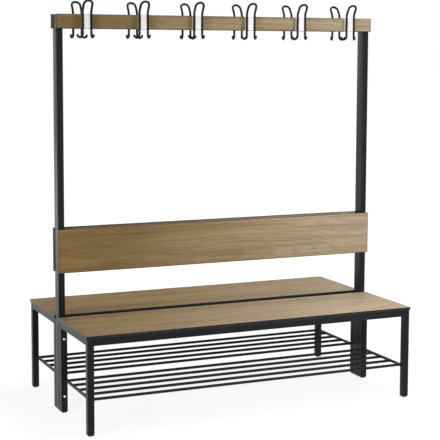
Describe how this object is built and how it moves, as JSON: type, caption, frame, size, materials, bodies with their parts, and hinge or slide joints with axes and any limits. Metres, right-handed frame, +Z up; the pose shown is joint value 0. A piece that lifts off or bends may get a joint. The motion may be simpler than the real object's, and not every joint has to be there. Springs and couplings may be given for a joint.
{
  "type": "changing room bench",
  "caption": "Double-sided changing room bench with wooden seats and backrest, steel tube frames, tall uprights with rails of bent-wire coat hooks, and bar shoe racks under the seats.",
  "frame": {"origin": "centre of the footprint, on the floor", "axes": "+X along the bench, -Y towards the front seat, +Z up"},
  "size_m": [1.5, 0.834, 1.7428],
  "materials": {
    "oak_board": "oak decor laminate, satin, with black edges",
    "steel_frame": "anthracite powder coat, fine texture",
    "steel_bar": "black powder coat on round bar",
    "black_cap": "moulded black plastic",
    "hook_wire": "black plastic-coated wire",
    "hook_block": "white moulded plastic",
    "zinc_bolt": "bright zinc plate"
  },
  "bodies": {
    "root": {"seat_board_front": "oak_board", "seat_board_rear": "oak_board", "backrest_board_front": "oak_board", "backrest_board_rear": "oak_board", "hook_rail_front": "oak_board", "hook_rail_rear": "oak_board", "upright_left": "steel_frame", "upright_right": "steel_frame", "upright_cap_left": "black_cap", "upright_cap_right": "black_cap", "upright_foot_left": "black_cap", "upright_foot_right": "black_cap", "inner_leg_front_left": "steel_frame", "inner_leg_front_right": "steel_frame", "inner_leg_rear_left": "steel_frame", "inner_leg_rear_right": "steel_frame", "outer_leg_front_left": "steel_frame", "outer_leg_front_right": "steel_frame", "outer_leg_rear_left": "steel_frame", "outer_leg_rear_right": "steel_frame", "inner_foot_front_left": "black_cap", "inner_foot_front_right": "black_cap", "inner_foot_rear_left": "black_cap", "inner_foot_rear_right": "black_cap", "outer_foot_front_left": "black_cap", "outer_foot_front_right": "black_cap", "outer_foot_rear_left": "black_cap", "outer_foot_rear_right": "black_cap", "inner_rail_front": "steel_frame", "inner_rail_rear": "steel_frame", "outer_rail_front": "steel_frame", "outer_rail_rear": "steel_frame", "end_rail_front_left": "steel_frame", "end_rail_front_right": "steel_frame", "end_rail_rear_left": "steel_frame", "end_rail_rear_right": "steel_frame", "shoe_rack_front": "steel_bar", "shoe_rack_rear": "steel_bar", "coat_hook_front_1": "hook_wire", "coat_hook_front_2": "hook_wire", "coat_hook_front_3": "hook_wire", "coat_hook_front_4": "hook_wire", "coat_hook_front_5": "hook_wire", "coat_hook_front_6": "hook_wire", "coat_hook_rear_1": "hook_wire", "coat_hook_rear_2": "hook_wire", "coat_hook_rear_3": "hook_wire", "coat_hook_rear_4": "hook_wire", "coat_hook_rear_5": "hook_wire", "coat_hook_rear_6": "hook_wire", "through_bolt_left_low": "zinc_bolt", "through_bolt_left_high": "zinc_bolt", "through_bolt_right_low": "zinc_bolt", "through_bolt_right_high": "zinc_bolt", "bolt_nut_left_low": "zinc_bolt", "bolt_nut_left_high": "zinc_bolt", "bolt_nut_right_low": "zinc_bolt", "bolt_nut_right_high": "zinc_bolt"}
  },
  "joints": []
}
